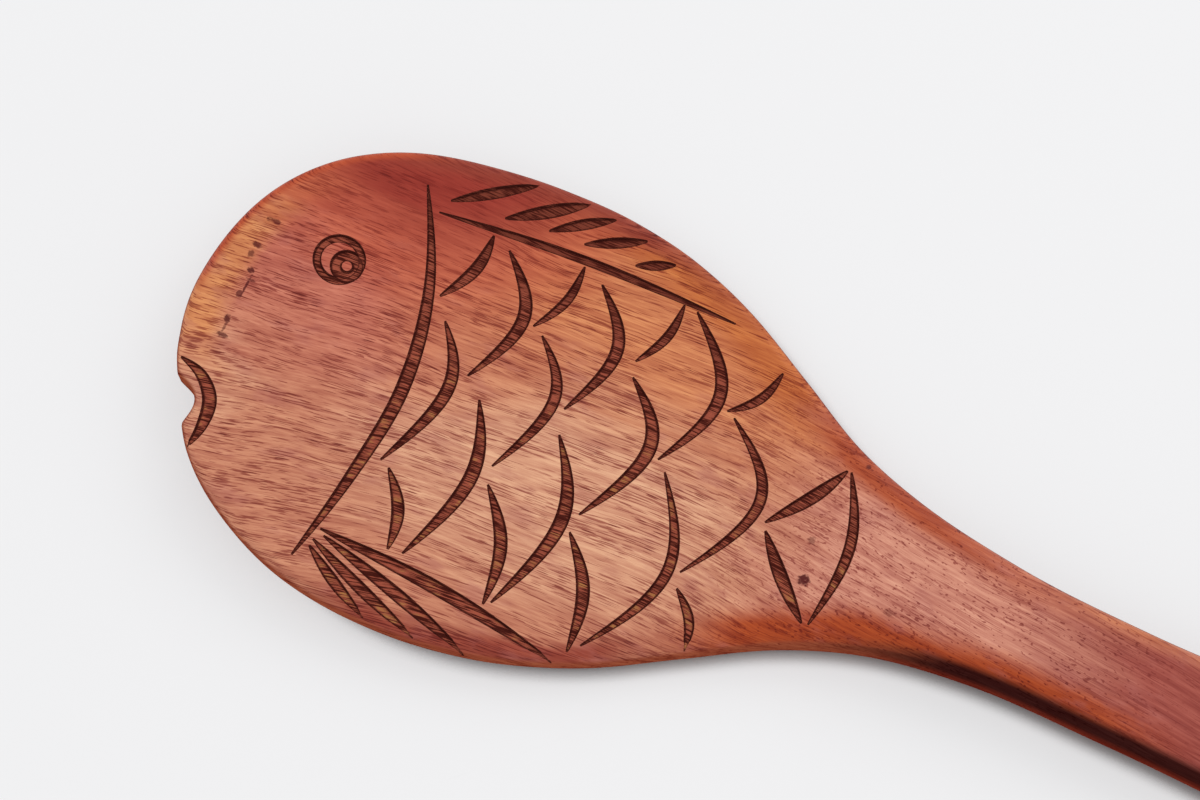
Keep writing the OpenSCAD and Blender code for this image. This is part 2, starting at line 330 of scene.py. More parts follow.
    def mesh(self):
        """Points and faces of the board.

        Rings run round the rim: a quarter round, a wall and a quarter round. Rows across close both faces.
        """
        radius = self.rounding(self.outline)[:, None]
        core = self.outline + self.ways * radius
        rings = []
        underside = self.lower(core)[:, None] + radius
        topside = self.upper(core)[:, None] - radius
        for height, start in ((underside, -1), (topside, 0)):
            for step in range(EDGE_STEPS + 1):
                turn = math.pi / 2 * (start + step / EDGE_STEPS)
                plan = core - self.ways * radius * math.cos(turn)
                rings.append(np.concatenate([plan, height + radius * math.sin(turn)], axis=1))
        rings = np.array(rings)
        count = len(self.outline)
        index = np.arange(rings.shape[0] * count).reshape(rings.shape[0], count)
        faces = [quad[::-1] for quad in strips(np.concatenate([index, index[:, :1]], axis=1))]
        points = [rings.reshape(-1, 3)]
        total = index.size
        stations = len(self.stations)
        along = np.linspace(0, 1, CROSS_STEPS + 1)[1:-1, None]
        for ring, height, upward in ((0, self.lower, False), (-1, self.upper, True)):
            back = rings[ring, 1:stations + 1, None, :2]
            belly = rings[ring, -1:-stations - 1:-1, None, :2]
            plan = mix(back, belly, along)
            points.append(np.concatenate([plan, height(plan)[..., None]], axis=2).reshape(-1, 3))
            inner = total + np.arange(plan.shape[0] * plan.shape[1]).reshape(plan.shape[:2])
            total += inner.size
            edge = index[ring]
            back_edge = edge[1:stations + 1, None]
            belly_edge = edge[-1:-stations - 1:-1, None]
            grid = np.concatenate([back_edge, inner, belly_edge], axis=1)
            face = strips(grid)
            nose = fan(edge[0], grid[0][::-1])
            end = fan(edge[stations + 1], grid[-1])
            turned = 1 if upward else -1
            faces += [quad[::turned] for quad in face]
            faces += [corner[::turned] for corner in nose + end]
        return np.concatenate(points), faces


def strips(index):
    """Faces between each two rows of a grid of point numbers, as lists of four."""
    quads = np.stack([index[:-1, :-1], index[:-1, 1:], index[1:, 1:], index[1:, :-1]], axis=-1)
    return quads.reshape(-1, 4).tolist()


def fan(tip, row):
    """Triangles from one point to each two neighbours of a row."""
    return np.stack([np.full(len(row) - 1, tip), row[:-1], row[1:]], axis=1).tolist()


class Groove:
    """A carved line's middle points, its sideways directions and its half widths, in millimetres."""

    def __init__(self, middle, half, closed):
        self.middle = middle
        self.half = half
        self.closed = closed
        if closed:
            run = np.roll(middle, -1, axis=0) - np.roll(middle, 1, axis=0)
        else:
            run = np.gradient(middle, axis=0)
        way = np.stack([-run[:, 1], run[:, 0]], axis=1)
        self.ways = way / np.linalg.norm(way, axis=1, keepdims=True)

    def burn(self):
        """How near each point of the lining is to a side or a tip of the groove: 0 in the middle, 1 there."""
        sides = np.concatenate([[1], np.abs(np.linspace(-1, 1, FLOOR_STEPS + 1)), [1]])
        tips = 1 - self.half / self.half.max()
        return np.maximum(sides, tips[:, None]).ravel()


def carved_line(board, shares, width):
    """A line through its points, whose half width follows a power of a half wave of sine from tip to tip."""
    points = np.array(shares) * [board.fish, board.half_width]
    steps = LINE_STEPS * (len(points) - 1)
    u = (1 - np.cos(math.pi * np.linspace(0, 1, steps + 1))) / 2
    knots = np.linspace(0, 1, len(points))
    middle = np.stack([smooth_curve(knots, points[:, k], u) for k in (0, 1)], axis=1)
    swell = np.clip(np.sin(math.pi * u), 0, 1) ** TAPER
    return Groove(middle, width / 2 * mix(TIP_SHARE, 1, swell), False)


def carved_ring(centre, inner, outer):
    """A round groove between two radii."""
    turn = 2 * math.pi * np.arange(EYE_STEPS) / EYE_STEPS
    middle = np.array(centre) + (inner + outer) / 2 * np.stack([np.cos(turn), np.sin(turn)], axis=1)
    return Groove(middle, np.full(EYE_STEPS, (outer - inner) / 2), True)


def swept(board, groove, profile):
    """Points and faces of a closed profile carried along a groove.

    A profile's point is a pair of functions of the half width: how far it lies to the side, and how deep it
    lies below the upper face.
    """
    sides = np.stack([side(groove.half) for side, drop in profile], axis=1)
    drops = np.stack([drop(groove.half) for side, drop in profile], axis=1)
    plan = groove.middle[:, None] + groove.ways[:, None] * sides[..., None]
    points = np.concatenate([plan, (board.surface(plan) - drops)[..., None]], axis=2)
    index = np.arange(points.shape[0] * points.shape[1]).reshape(points.shape[:2])
    wrapped = np.concatenate([index, index[:, :1]], axis=1)
    if groove.closed:
        faces = strips(np.concatenate([wrapped, wrapped[:1]], axis=0))
    else:
        faces = strips(wrapped) + [index[0][::-1].tolist(), index[-1].tolist()]
    return points.reshape(-1, 3), faces


# The groove's section: depths and widths in millimetres, then the least share of both and the floor's steps
SHOWN_DEPTH = 0.34
CUT_DEPTH = 0.52
WALL_LEAN = 0.1
LIP_WIDTH = 0.15
EDGE_DEPTH = 0.07
CLEAR_HEIGHT = 0.5
BEDDING = 0.03
FLOOR_HOLLOW = 0.04
SHALLOW_HALF = 0.4
LEAST_SHARE = 0.15
FLOOR_STEPS = 6


def depth_share(half):
    """A narrow tip is cut less deep, in step with its half width."""
    return np.clip(half / SHALLOW_HALF, LEAST_SHARE, 1)


def side_at(half, depth):
    """The wall's distance from the groove's middle at a depth: it leans in, under a softened edge."""
    lean = WALL_LEAN * (depth - EDGE_DEPTH) / (SHOWN_DEPTH - EDGE_DEPTH)
    return np.maximum(half * LEAST_SHARE, half - lean * depth_share(half))


def cutter_profile():
    """The groove's hollow with a softened edge, carried on above the board so that it cuts right through."""

    def lip(sign, height):
        return (lambda half: sign * (half + LIP_WIDTH), lambda half: -height * depth_share(half))

    def wall(sign, depth):
        return (lambda half: sign * side_at(half, depth), lambda half: depth * depth_share(half))

    def climb(sign):
        walls = [wall(sign, CUT_DEPTH), wall(sign, EDGE_DEPTH)]
        return walls + [lip(sign, EDGE_DEPTH / 2), lip(sign, CLEAR_HEIGHT)]

    return climb(1) + climb(-1)[::-1]


def lining_profile():
    """The burnt layer on the groove's floor: a little hollow on top, and bedded in the wood all round."""

    def top(across):
        side = lambda half: across * (side_at(half, SHOWN_DEPTH) + BEDDING)
        drop = lambda half: (SHOWN_DEPTH + FLOOR_HOLLOW * (1 - across**2)) * depth_share(half)
        return side, drop

    def bottom(sign):
        side = lambda half: sign * (side_at(half, SHOWN_DEPTH) + BEDDING)
        drop = lambda half: (CUT_DEPTH + BEDDING) * depth_share(half)
        return side, drop

    tops = [top(across) for across in np.linspace(-1, 1, FLOOR_STEPS + 1)]
    return [bottom(1), *tops[::-1], bottom(-1)]


def joined(parts):
    """Several sets of points and faces as one."""
    points, faces, total = [], [], 0
    for part_points, part_faces in parts:
        points.append(part_points)
        faces += [[corner + total for corner in face] for face in part_faces]
        total += len(part_points)
    return np.concatenate(points), faces


def made_mesh(name, board, points, faces):
    """A mesh from points in millimetres from the nose, set in the frame in metres."""
    mesh = bpy.data.meshes.new(name)
    placed = (points - [board.length / 2, 0, 0]) * MM
    mesh.from_pydata(placed.tolist(), [], faces)
    mesh.validate()
    mesh.update()
    mesh.shade_smooth()
    return mesh


def made_object(name, data):
    """An object of the scene that holds a mesh, a camera or a lamp."""
    made = bpy.data.objects.new(name, data)
    bpy.context.scene.collection.objects.link(made)
    return made


def line_groove(board, sizes, line):
    """One of the carved lines of the tables above."""
    shares, width = line
    return carved_line(board, shares, width * in_mm(sizes.line_width))


def eye_grooves(board, sizes):
    """The eye's ring and its iris round the bare pupil."""
    radius = in_mm(sizes.eye_radius)
    centre = np.array(EYE_SHARES) * [board.fish, board.half_width]
    ring = carved_ring(centre, radius * (1 - EYE_RING_SHARE), radius)
    iris = carved_ring(centre + np.array(IRIS_SHARES) * radius, radius * PUPIL_R_SHARE, radius * IRIS_R_SHARE)
    return ring, iris


class Link:
    """A socket of a finish. A sum adds a Math node, or a Vector Math node for a vector or a colour."""

    def __init__(self, finish, socket):
        self.finish = finish
        self.socket = socket

    def sum(self, operation, first, second):
        """One sum of two values, at least one of which is a link."""
        kind = "ShaderNodeMath" if self.socket.type == "VALUE" else "ShaderNodeVectorMath"
        return self.finish.node(kind, {"operation": operation}, {0: first, 1: second})

    def __add__(self, other):
        return self.sum("ADD", self, other)

    def __radd__(self, other):
        return self.sum("ADD", other, self)

    def __sub__(self, other):
        return self.sum("SUBTRACT", self, other)

    def __rsub__(self, other):
        return self.sum("SUBTRACT", other, self)

    def __mul__(self, other):
        return self.sum("MULTIPLY", self, other)

    def __rmul__(self, other):
        return self.sum("MULTIPLY", other, self)

    def __truediv__(self, other):
        return self.sum("DIVIDE", self, other)

    def __rtruediv__(self, other):
        return self.sum("DIVIDE", other, self)

    def __pow__(self, other):
        return self.sum("POWER", self, other)


class Finish:
    """The nodes of a material or of the world."""

    def __init__(self, owner):
        self.owner = owner
        owner.use_nodes = True
        self.tree = owner.node_tree
        self.tree.nodes.clear()

    def made(self, kind, settings=None, inputs=None):
        """A new node: its settings first, and then the values or links of its sockets."""
        made = self.tree.nodes.new(kind)
        for name, value in (settings or {}).items():
            setattr(made, name, value)
        for name, value in (inputs or {}).items():
            if isinstance(value, Link):
                self.tree.links.new(value.socket, made.inputs[name])
            else:
                made.inputs[name].default_value = value
        return made

    def node(self, kind, settings=None, inputs=None, output=0):
        """One output of a new node."""
        return Link(self, self.made(kind, settings, inputs).outputs[output])

    def end(self, kind, shader):
        """Ends the nodes in an output."""
        self.made(kind, inputs={"Surface": shader})
        return self.owner

    def surface(self, inputs):
        """Ends a material in a Principled shader with these sockets."""
        return self.end("ShaderNodeOutputMaterial", self.node("ShaderNodeBsdfPrincipled", inputs=inputs))

    def mixed_end(self, share, first, second):
        """Ends a material in one shader, and by a share in another."""
        mixed = self.node("ShaderNodeMixShader", inputs={0: share, 1: first, 2: second})
        return self.end("ShaderNodeOutputMaterial", mixed)

    def place(self):
        """Object coordinates in millimetres."""
        metres = self.node("ShaderNodeTexCoord", output="Object")
        return self.node("ShaderNodeVectorMath", {"operation": "SCALE"}, {0: metres, "Scale": 1 / MM})

    def parts(self, vector):
        """The three parts of a vector."""
        split = self.made("ShaderNodeSeparateXYZ", inputs={0: vector})
        return [Link(self, output) for output in split.outputs]

    def vector(self, x, y, z):
        """A vector from its three parts."""
        return self.node("ShaderNodeCombineXYZ", inputs={0: x, 1: y, 2: z})

    def rise(self, value, low, high):
        """A smooth step from 0 at low to 1 at high, or from 1 to 0 where low is above high."""
        settings = {"interpolation_type": "SMOOTHSTEP"}
        if low < high:
            return self.node("ShaderNodeMapRange", settings, {0: value, 1: low, 2: high, 3: 0, 4: 1})
        return self.node("ShaderNodeMapRange", settings, {0: value, 1: high, 2: low, 3: 1, 4: 0})

    def math(self, operation, first, second):
        """Any other sum on numbers."""
        return self.node("ShaderNodeMath", {"operation": operation}, {0: first, 1: second})

    def oval(self, x, y, centre, reach):
        """Squared distance from a point of the board, as a share of a reach along and across."""
        return ((x - centre[0]) / reach[0]) ** 2 + ((y - centre[1]) / reach[1]) ** 2

    def swells(self, place, sizes, detail=1, rough=0.5):
        """A soft random field from 0 to 1 whose swells have these sizes in millimetres."""
        stretched = self.vector(*(part / size for part, size in zip(place, sizes)))
        inputs = {"Vector": stretched, "Scale": 1, "Detail": detail, "Roughness": rough}
        return self.node("ShaderNodeTexNoise", {"noise_dimensions": "3D"}, inputs, "Fac")

    def dashes(self, along, across):
        """Short marks round scattered points. Half the points carry none, and the rest are large or small."""
        inputs = {"Vector": self.vector(along, across, 0), "Scale": 1}
        cells = self.made("ShaderNodeTexVoronoi", {"voronoi_dimensions": "2D"}, inputs)
        size = self.parts(Link(self, cells.outputs["Color"]))[0]
        edge = Link(self, cells.outputs["Distance"]) - size * DASH_REACH + DASH_REACH / 2
        return self.rise(edge, *DASH_EDGE)

    def blend(self, share, first, second):
        """A colour a share of the way from the first to the second."""
        first, second = ((*c, 1) if isinstance(c, tuple) else c for c in (first, second))
        return self.node("ShaderNodeMix", {"data_type": "RGBA"}, {0: share, 6: first, 7: second}, 2)


# The grain's run over the board, in millimetres
GRAIN_SLOPE = 0.05
GRAIN_TURN = 0.00115
GRAIN_TURN_START = -50
GRAIN_TURN_END = 20
GRAIN_SPREAD = 0.0047
GRAIN_SPREAD_START = -60
GRAIN_LEAN = 0.8

# Sizes of the patterns along, across and through the wood, in millimetres
WAVE_SIZES = (24, 12, 12)
DRIFT_SIZES = (30, 3.5, 1)
CLOUD_SIZES = (6, 2.6, 6)
RIBBON_SIZES = (13, 0.9, 3)
FIBRE_SIZES = (6, 0.3, 0.8)
LINE_SIZES = (4.4, 0.16, 0.5)
CLUSTER_SIZES = (9, 1.8, 6)
PORE_SIZES = (0.7, 0.32, 0.7)
DASH_SIZES = (2.8, 0.24)
RAGGED_SIZES = (0.8, 0.8, 1)
STRIPE_SIZES = (4, 0.18, 2)
PATCH_SIZES = (2.5, 1.2, 2)

# The dashes, in cells: the span of their reaches, half of which lies below zero, and where their edges fade
DASH_REACH = 0.8
DASH_EDGE = (0.05, -0.08)

# How far the drift moves the tones along the wood, up it and in from its rim, in millimetres, and how far
# the rim's amber tone moves out at the waist
DRIFT_ALONG = 16
DRIFT_UP = 10
DRIFT_IN = 3
WAIST_DRIFT = 1.2

# How strongly each pattern shows in the wood's lightness
RIBBON_CONTRAST = 0.32
FIBRE_CONTRAST = 0.44
FIBRE_LIFT = 1.12
LINE_CONTRAST = 0.58
MARK_CONTRAST = 0.58
DEEP_CALM = 0.45
NECK_CALM = 0.4

# How the grain's pattern changes the wood's red, green and blue: powers of its lightness
GRAIN_POWERS = (0.72, 1.25, 1.2)

# Oval zones of the wood: centre, then reach along and across, in millimetres
ZONES = {
    "middle_zone": ((-50, -6), (24, 14)),
    "cheek_zone": ((-98, -13), (8, 8)),
    "gill_zone": ((-67, 8), (12, 9)),
    "deep_zone": ((-83, 38), (24, 22)),
}

# The wood's broad tones, laid one over the other: colour, strength, and the smooth steps that limit it.
# A step has what it measures, where it is 0 and where it is 1, in millimetres or as a share of a zone.
TONES = [
    ("middle", 1, [("middle_zone", 2, 0.25)]),
    ("head", 1, [("along", -60, -82), ("upward", -16, 8)]),
    ("tan", 0.9, [("upward", 0, 18), ("x", -76, -60)]),
    ("gill", 0.55, [("gill_zone", 1.8, 0.3)]),
    ("middle", 0.6, [("cheek_zone", 1.8, 0.3)]),
    ("shoulder", 0.9, [("inset", 8, 3), ("along", -70, -50), ("y", 0, 8)]),
    ("neck", 0.9, [("along", -26, -10)]),
    ("handle", 1, [("along", 8, 30)]),
    ("gold", 1, [("inset", 6.5, 3.2), ("x", -84, -94), ("y", -14, -6), ("y", 28, 16)]),
    ("red", 0.8, [("deep_zone", 2.4, 1)]),
    ("deep", 0.95, [("deep_zone", 1.3, 0.35)]),
    ("dark_rim", 0.95, [("inset", 3.8, 1.4), ("x", -92, -80), ("x", -24, -56), ("y", 0, 2)]),
    ("dark_rim", 0.95, [("inset", 3.8, 1.4), ("x", -76, -62), ("x", -26, -36), ("y", 0, -2)]),
    ("red_rim", 1, [("rim", 2, 0.7), ("x", -76, -88), ("y", -4, 2)]),
    ("amber", 1, [("waisted", 6.3, 2.5), ("x", -32, -18), ("x", 40, 22), ("y", 0, -2)]),
    ("upper_rim", 0.95, [("inset", 5.3, 2), ("x", -28, -16), ("x", 30, -4), ("y", 0, 2)]),
    # Painted light: the handle's upper rim, on the softbox's side, is lightened with the tan wood's colour
    ("tan", 0.6, [("inset", 3, 1), ("x", 8, 26), ("y", 0, 2)]),
]

# Dark spots in the wood: centre, then reach along and across, then strength
SPOTS = [
    ((-97.2, 10.7), (1.1, 0.35), 0.75),
    ((-97.4, 6.7), (0.75, 0.4), 0.85),
    ((-97.6, 5.3), (0.4, 0.5), 0.7),
    ((-96.6, 3.3), (0.5, 0.5), 0.9),
    ((-96.2, 1.2), (0.16, 1.9), 0.85),
    ((-96.1, 2), (0.6, 0.22), 0.7),
    ((-96.5, -0.3), (0.35, 0.6), 0.75),
    ((-96.3, -4), (0.45, 0.5), 0.9),
    ((-96.1, -5.2), (0.2, 0.8), 0.7),
    ((-95.9, -6.4), (0.8, 0.35), 0.8),
    ((-12.9, 12.8), (0.35, 0.4), 0.8),
    ((-14.6, -4.3), (0.8, 0.75), 0.95),
    ((-15.7, 1), (0.55, 0.45), 0.5),
    ((-3, -4.3), (0.8, 0.5), 0.35),
]


def grain_coordinates(finish):
    """The place in the frame and the distance across the grain, in millimetres.

    The grain climbs a little along the blade, bends down along the neck in a parabola that runs on straight,
    and fans out toward the nose.
    """
    x, y, z = finish.parts(finish.place())
    bend = GRAIN_TURN_END - GRAIN_TURN_START
    turning = finish.math("MINIMUM", finish.math("MAXIMUM", x - GRAIN_TURN_START, 0), bend)
    straight = finish.math("MAXIMUM", x - GRAIN_TURN_END, 0)
    drift = x * GRAIN_SLOPE - turning * turning * GRAIN_TURN - straight * (2 * GRAIN_TURN * bend)
    spread = finish.math("MAXIMUM", GRAIN_SPREAD_START - x, 0) * GRAIN_SPREAD + 1
    wave = finish.swells((x, y, z), WAVE_SIZES) * 2
    return x, y, z, (y - drift) / spread + wave + z * GRAIN_LEAN


def wood_tones(finish, colours, x, y, across, rim):
    """The wood's colour before its grain, and how deep in the red patch over the head a place lies."""
    drift = finish.swells((x, across, 0), DRIFT_SIZES, detail=2) - 0.5
    measures = {"x": x, "y": y, "rim": rim}
    measures["along"] = x + drift * DRIFT_ALONG
    measures["upward"] = y + drift * DRIFT_UP
    measures["inset"] = rim + drift * DRIFT_IN
    measures["waisted"] = measures["inset"] + finish.rise(x, -8, 4) * WAIST_DRIFT
    for name, zone in ZONES.items():
        measures[name] = finish.oval(measures["along"], measures["upward"], *zone)
    colour = tuple(colours.pale)
    for name, share, steps in TONES:
        for measured, low, high in steps:
            share = finish.rise(measures[measured], low, high) * share
        colour = finish.blend(share, colour, tuple(getattr(colours, name)))
    return colour, finish.rise(measures["deep_zone"], 1.6, 0.5)


def wood_finish(colours):
    """Lacquered reddish wood: broad tones, a grain of several patterns, a few dark spots and darker walls.

    The handle's walls carry painted shade, with painted light from the table at their foot.
    """
    finish = Finish(bpy.data.materials.new("lacquered_wood"))
    x, y, z, across = grain_coordinates(finish)
    grain = (x, across, z)
    rim = finish.node("ShaderNodeAttribute", {"attribute_name": "rim"}, output="Fac")
    colour, deep = wood_tones(finish, colours, x, y, across, rim)

    # Purple clouds
    clouds = finish.swells(grain, CLOUD_SIZES, detail=3, rough=0.6)
    cloudy = finish.rise(clouds, 0.5, 0.72) * finish.rise(y, 22, 6) * 0.4
    colour = finish.blend(cloudy, colour, tuple(colours.plum))

    # The walls: reddish round the blade. On the handle, painted shade: the lower wall and its rounded edge
    # are
    # # nearly black, dark red at the foot as painted light bounced from the table, and the upper wall goes
    # half-way to that
    handle = finish.rise(x, -14, 7)
    lower = finish.rise(y, 0, -2)
    shaded_lower_edge = finish.rise(rim, 1.3, 0.3) * handle * lower
    wall = finish.math("MAXIMUM", finish.rise(rim, 0.5, 0.05), shaded_lower_edge)
    foot = finish.rise(z, 5.5, 1.5)
    painted_handle_shade = finish.blend(foot, tuple(colours.painted_shade_wall), tuple(colours.painted_bounce_foot))
    wall_colour = finish.blend(handle * (lower * 0.5 + 0.5), tuple(colours.blade_wall), painted_handle_shade)
    colour = finish.blend(wall, colour, wall_colour)

    # The grain: ribbons, fibres, fine lines that come in clusters, dashes, and pores on the neck
    ribbons = finish.swells(grain, RIBBON_SIZES, detail=3, rough=0.6)
    fibres = finish.swells(grain, FIBRE_SIZES, detail=3, rough=0.7)
    lines = finish.swells(grain, LINE_SIZES)
    clusters = finish.swells(grain, CLUSTER_SIZES) - 0.5
    pores = finish.swells(grain, PORE_SIZES)
    calm = 1 - finish.rise(x, -32, -12) * NECK_CALM
    line = finish.rise(lines + clusters * 0.4, 0.56, 0.65) * calm
    dash = finish.dashes(x / DASH_SIZES[0], across / DASH_SIZES[1]) * calm
    dash = dash * finish.rise(clusters, -0.1, 0.1) * finish.rise(x, 32, 8)
    pore = finish.rise(pores + clusters * 0.25, 0.62, 0.7)
    pore = pore * finish.rise(x, -40, -8) * finish.rise(x, 46, 16)
    mark = finish.math("MAXIMUM", dash, pore)
    plain = 1 - deep * DEEP_CALM
    light = (0.5 - finish.rise(ribbons, 0.36, 0.68)) * RIBBON_CONTRAST * plain + 1
    light = light * ((finish.rise(fibres, 0.28, 0.72) - 0.5) * plain * FIBRE_CONTRAST + FIBRE_LIFT)
    light = light * (1 - line * plain * LINE_CONTRAST) * (1 - mark * plain * MARK_CONTRAST)
    colour = colour * finish.vector(*(light**power for power in GRAIN_POWERS))

    # A row of specks near the nose, and small knots before the neck
    ragged = finish.swells((x, y, 0), RAGGED_SIZES, detail=3, rough=0.7) - 0.5
    spots = 0
    for centre, reach, strength in SPOTS:
        spot = finish.rise(finish.oval(x, y, centre, reach) + ragged * 4.5, 1.5, 0.3) * strength
        spots = finish.math("MAXIMUM", spot, spots)
    colour = finish.blend(spots, colour, tuple(colours.speck))

    bump = finish.node("ShaderNodeBump", inputs={"Strength": 0.5, "Distance": 0.04 * MM, "Height": light})
    face = finish.node("ShaderNodeBsdfPrincipled", inputs={
        "Base Color": colour,
        "Roughness": 0.4 + line * 0.2,
        "Specular IOR Level": 0.08,
        "Coat Weight": 0.1,
        "Coat Roughness": 0.25,
        "Normal": bump,
    })
    side = finish.node("ShaderNodeBsdfPrincipled", inputs={
        "Base Color": colour,
        "Roughness": 0.5,
        "Specular IOR Level": 0,
    })
    return finish.mixed_end(wall, face, side)


def burnt_finish(name, colours, floor):
    """Scorched wood: browner stripes where the grain crosses a floor, or charred all over on the walls."""
    finish = Finish(bpy.data.materials.new(name))
    x, y, z, across = grain_coordinates(finish)
    stripes = finish.swells((x, across, z), STRIPE_SIZES, detail=2, rough=0.7)
    patches = finish.swells((x, across, z), PATCH_SIZES)
    colour = tuple(colours.char)
    if floor:
        burn = finish.node("ShaderNodeAttribute", {"attribute_name": "burn"}, output="Fac")
        striped = finish.rise(stripes + (patches - 0.5) * 0.3, 0.43, 0.58)
        shown = striped * (1 - finish.rise(y, 14, 22) * 0.5)
        colour = finish.blend(shown, tuple(colours.dark_floor), tuple(colours.scorched))
        golden = finish.rise(patches, 0.54, 0.66) * finish.rise(stripes, 0.5, 0.58) * finish.rise(y, 8, 0)
        colour = finish.blend(golden * 0.8, colour, tuple(colours.bare_floor))
        charred = finish.rise(burn + (stripes - 0.5) * 0.8, 0.66, 1.02)
        colour = finish.blend(charred, colour, tuple(colours.char))
    else:
        colour = finish.blend(finish.rise(stripes, 0.5, 0.7) * 0.4, colour, tuple(colours.scorched))
    bump = finish.node("ShaderNodeBump", inputs={"Strength": 0.6, "Distance": 0.08 * MM, "Height": stripes})
    return finish.surface({
        "Base Color": colour,
        "Roughness": 0.6,
        "Specular IOR Level": 0.02,
        "Normal": bump,
    })


def amount(name, description, value, **kind):
    """A number of the sidebar, with its unit or its subtype."""
    return FloatProperty(name=name, description=description, default=value, min=0, **kind)


def length(name, description, millimetres):
    """A length of the sidebar."""
    return amount(name, description, millimetres * MM, unit="LENGTH")


def tint(name, description, value):
    """A colour of the sidebar."""
    return FloatVectorProperty(
        name=name, description=description, default=value, min=0, max=1, size=3, subtype="COLOR"
    )


class SpoonSizes(PropertyGroup):
    """Sizes of the board and of its carving."""

    length: length("Length", "From the fish's nose to the handle's end", PACKED_LENGTH)
    fish_length: length("Fish length", "From the nose to the start of the handle", 100)
    blade_width: length("Blade width", "Greatest width of the blade", PACKED_WIDTH * WIDTH_SHARE)
    blade_thickness: length("Blade thickness", "Thickness in the middle of the blade", 3.6)
    handle_thickness: length("Handle thickness", "Thickness of the handle", 8.5)
    waist_width: length("Waist width", "Width at the handle's waist", 14.4)
    grip_width: length("Grip width", "Width of the grip behind the waist", 19)
    nose_lift: length("Nose lift", "Height of the nose's underside above the table", 6)
    dish_height: length("Dish height", "Height of the blade's sides above its middle", 1.8)
    sole_cut: length("Sole cut", "Depth sanded off the underside", 0.25)
    blade_rounding: length("Blade rounding", "Rounding of the blade's rim", 1.45)
    handle_rounding: length("Handle rounding", "Rounding of the handle's edges", 2.4)
    mouth_cut: length("Mouth cut", "Depth of the mouth's notch", 1.9)
    line_width: length("Line width", "Width of a plain carved line", 1.4)
    eye_radius: length("Eye radius", "Outer radius of the eye", 3.4)


class SpoonColours(PropertyGroup):
    """Colours of the wood and of the burnt lines."""

    pale: tint("Pale wood", "The plain wood of the blade", (0.494, 0.175, 0.104))
    middle: tint("Middle", "The palest wood, in the middle of the scales", (0.595, 0.264, 0.162))
    head: tint("Head", "The wood of the head", (0.466, 0.123, 0.082))
    gill: tint("Gill wood", "The redder wood round the gill", (0.48, 0.13, 0.064))
    tan: tint("Tan wood", "The wood behind the gill on the back's side", (0.555, 0.172, 0.07))
    shoulder: tint("Shoulder", "The orange wood along the back's rim", (0.47, 0.112, 0.029))
    neck: tint("Neck wood", "The pink wood of the neck", (0.555, 0.212, 0.15))
    handle: tint("Handle wood", "The cooler wood of the handle", (0.3, 0.06, 0.045))
    gold: tint("Gold wood", "The yellow wood of the nose", (0.57, 0.195, 0.078))
    red: tint("Red wood", "The red wood round the deep part", (0.443, 0.078, 0.039))
    deep: tint("Deep wood", "The deep red wood over the head", (0.266, 0.026, 0.017))
    dark_rim: tint("Dark rim", "The rim of the back and of the belly", (0.26, 0.039, 0.023))
    red_rim: tint("Red rim", "The rim of the head over the nose", (0.42, 0.062, 0.022))
    amber: tint("Amber rim", "The lower rim of the neck", (0.34, 0.048, 0.011))
    upper_rim: tint("Upper rim", "The upper rim of the neck", (0.36, 0.058, 0.02))
    plum: tint("Clouds", "The purple clouds in the wood", (0.36, 0.1, 0.085))
    speck: tint("Spots", "The dark spots in the wood", (0.08, 0.004, 0.005))
    blade_wall: tint("Blade's wall", "The side wall of the blade", (0.27, 0.058, 0.028))
    # Painted shade on the handle: its wall nearly black, and painted light from the table, dark red, at the
    # wall's foot
    painted_shade_wall: tint("Handle's wall", "The lacquered side wall of the handle", (0.036, 0.007, 0.006))
    painted_bounce_foot: tint("Foot of the wall", "The handle's wall near the table", (0.18, 0.022, 0.011))
    char: tint("Char", "The blackened walls and edges of the lines", (0.045, 0.008, 0.006))
    dark_floor: tint("Dark floor", "The dark stripes on the floors of the lines", (0.06, 0.009, 0.006))
    scorched: tint("Scorched floor", "The floors of the lines", (0.36, 0.085, 0.05))
    bare_floor: tint("Bare floor", "Places on a floor that the burning spared", (0.42, 0.2, 0.06))


class StageSettings(PropertyGroup):
    """The table, the lamps and the camera."""

    table: tint("Table", "The table's colour", (0.875, 0.875, 0.885))
    glow: amount("Glow", "Share of the table that is seen without shadows", 0.58, subtype="FACTOR", max=1)
    sky: amount("Room light", "Strength of the room's even light", 0.91)
    key: amount("Softbox", "Power of the softbox", 2.2, unit="POWER")
    lens: amount("Lens", "Focal length on a 36 mm sensor", 72, unit="CAMERA")


class SPOON_OT_stage(Operator):
    """Makes the camera, the table and the lamps"""

    bl_idname = "spoon.stage"
    bl_label = "Stage"

    def execute(self, context):
        stage = context.scene.spoon_stage
        context.scene.view_settings.view_transform = "Standard"
        make_camera(stage)
        make_table(stage)
        make_lamps(stage)
        return {"FINISHED"}


class SPOON_OT_board(Operator):
    """Makes the carved board of the spoon"""

    bl_idname = "spoon.board"
    bl_label = "Board"

    def execute(self, context):
        sizes = context.scene.spoon_sizes
        colours = context.scene.spoon_colours
        board = Board(sizes)
        piece = made_object("carved_board", made_mesh("carved_board", board, *board.mesh()))
        piece.data.materials.append(wood_finish(colours))
        piece.data.materials.append(burnt_finish("burnt_walls", colours, False))
        features = [[line_groove(board, sizes, line) for line in group] for group in LINE_GROUPS.values()]
        carve(board, piece, features + [[groove] for groove in eye_grooves(board, sizes)])
        mark_rim(board, piece.data)
        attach(piece, "root")
        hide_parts("paddle")
        return {"FINISHED"}


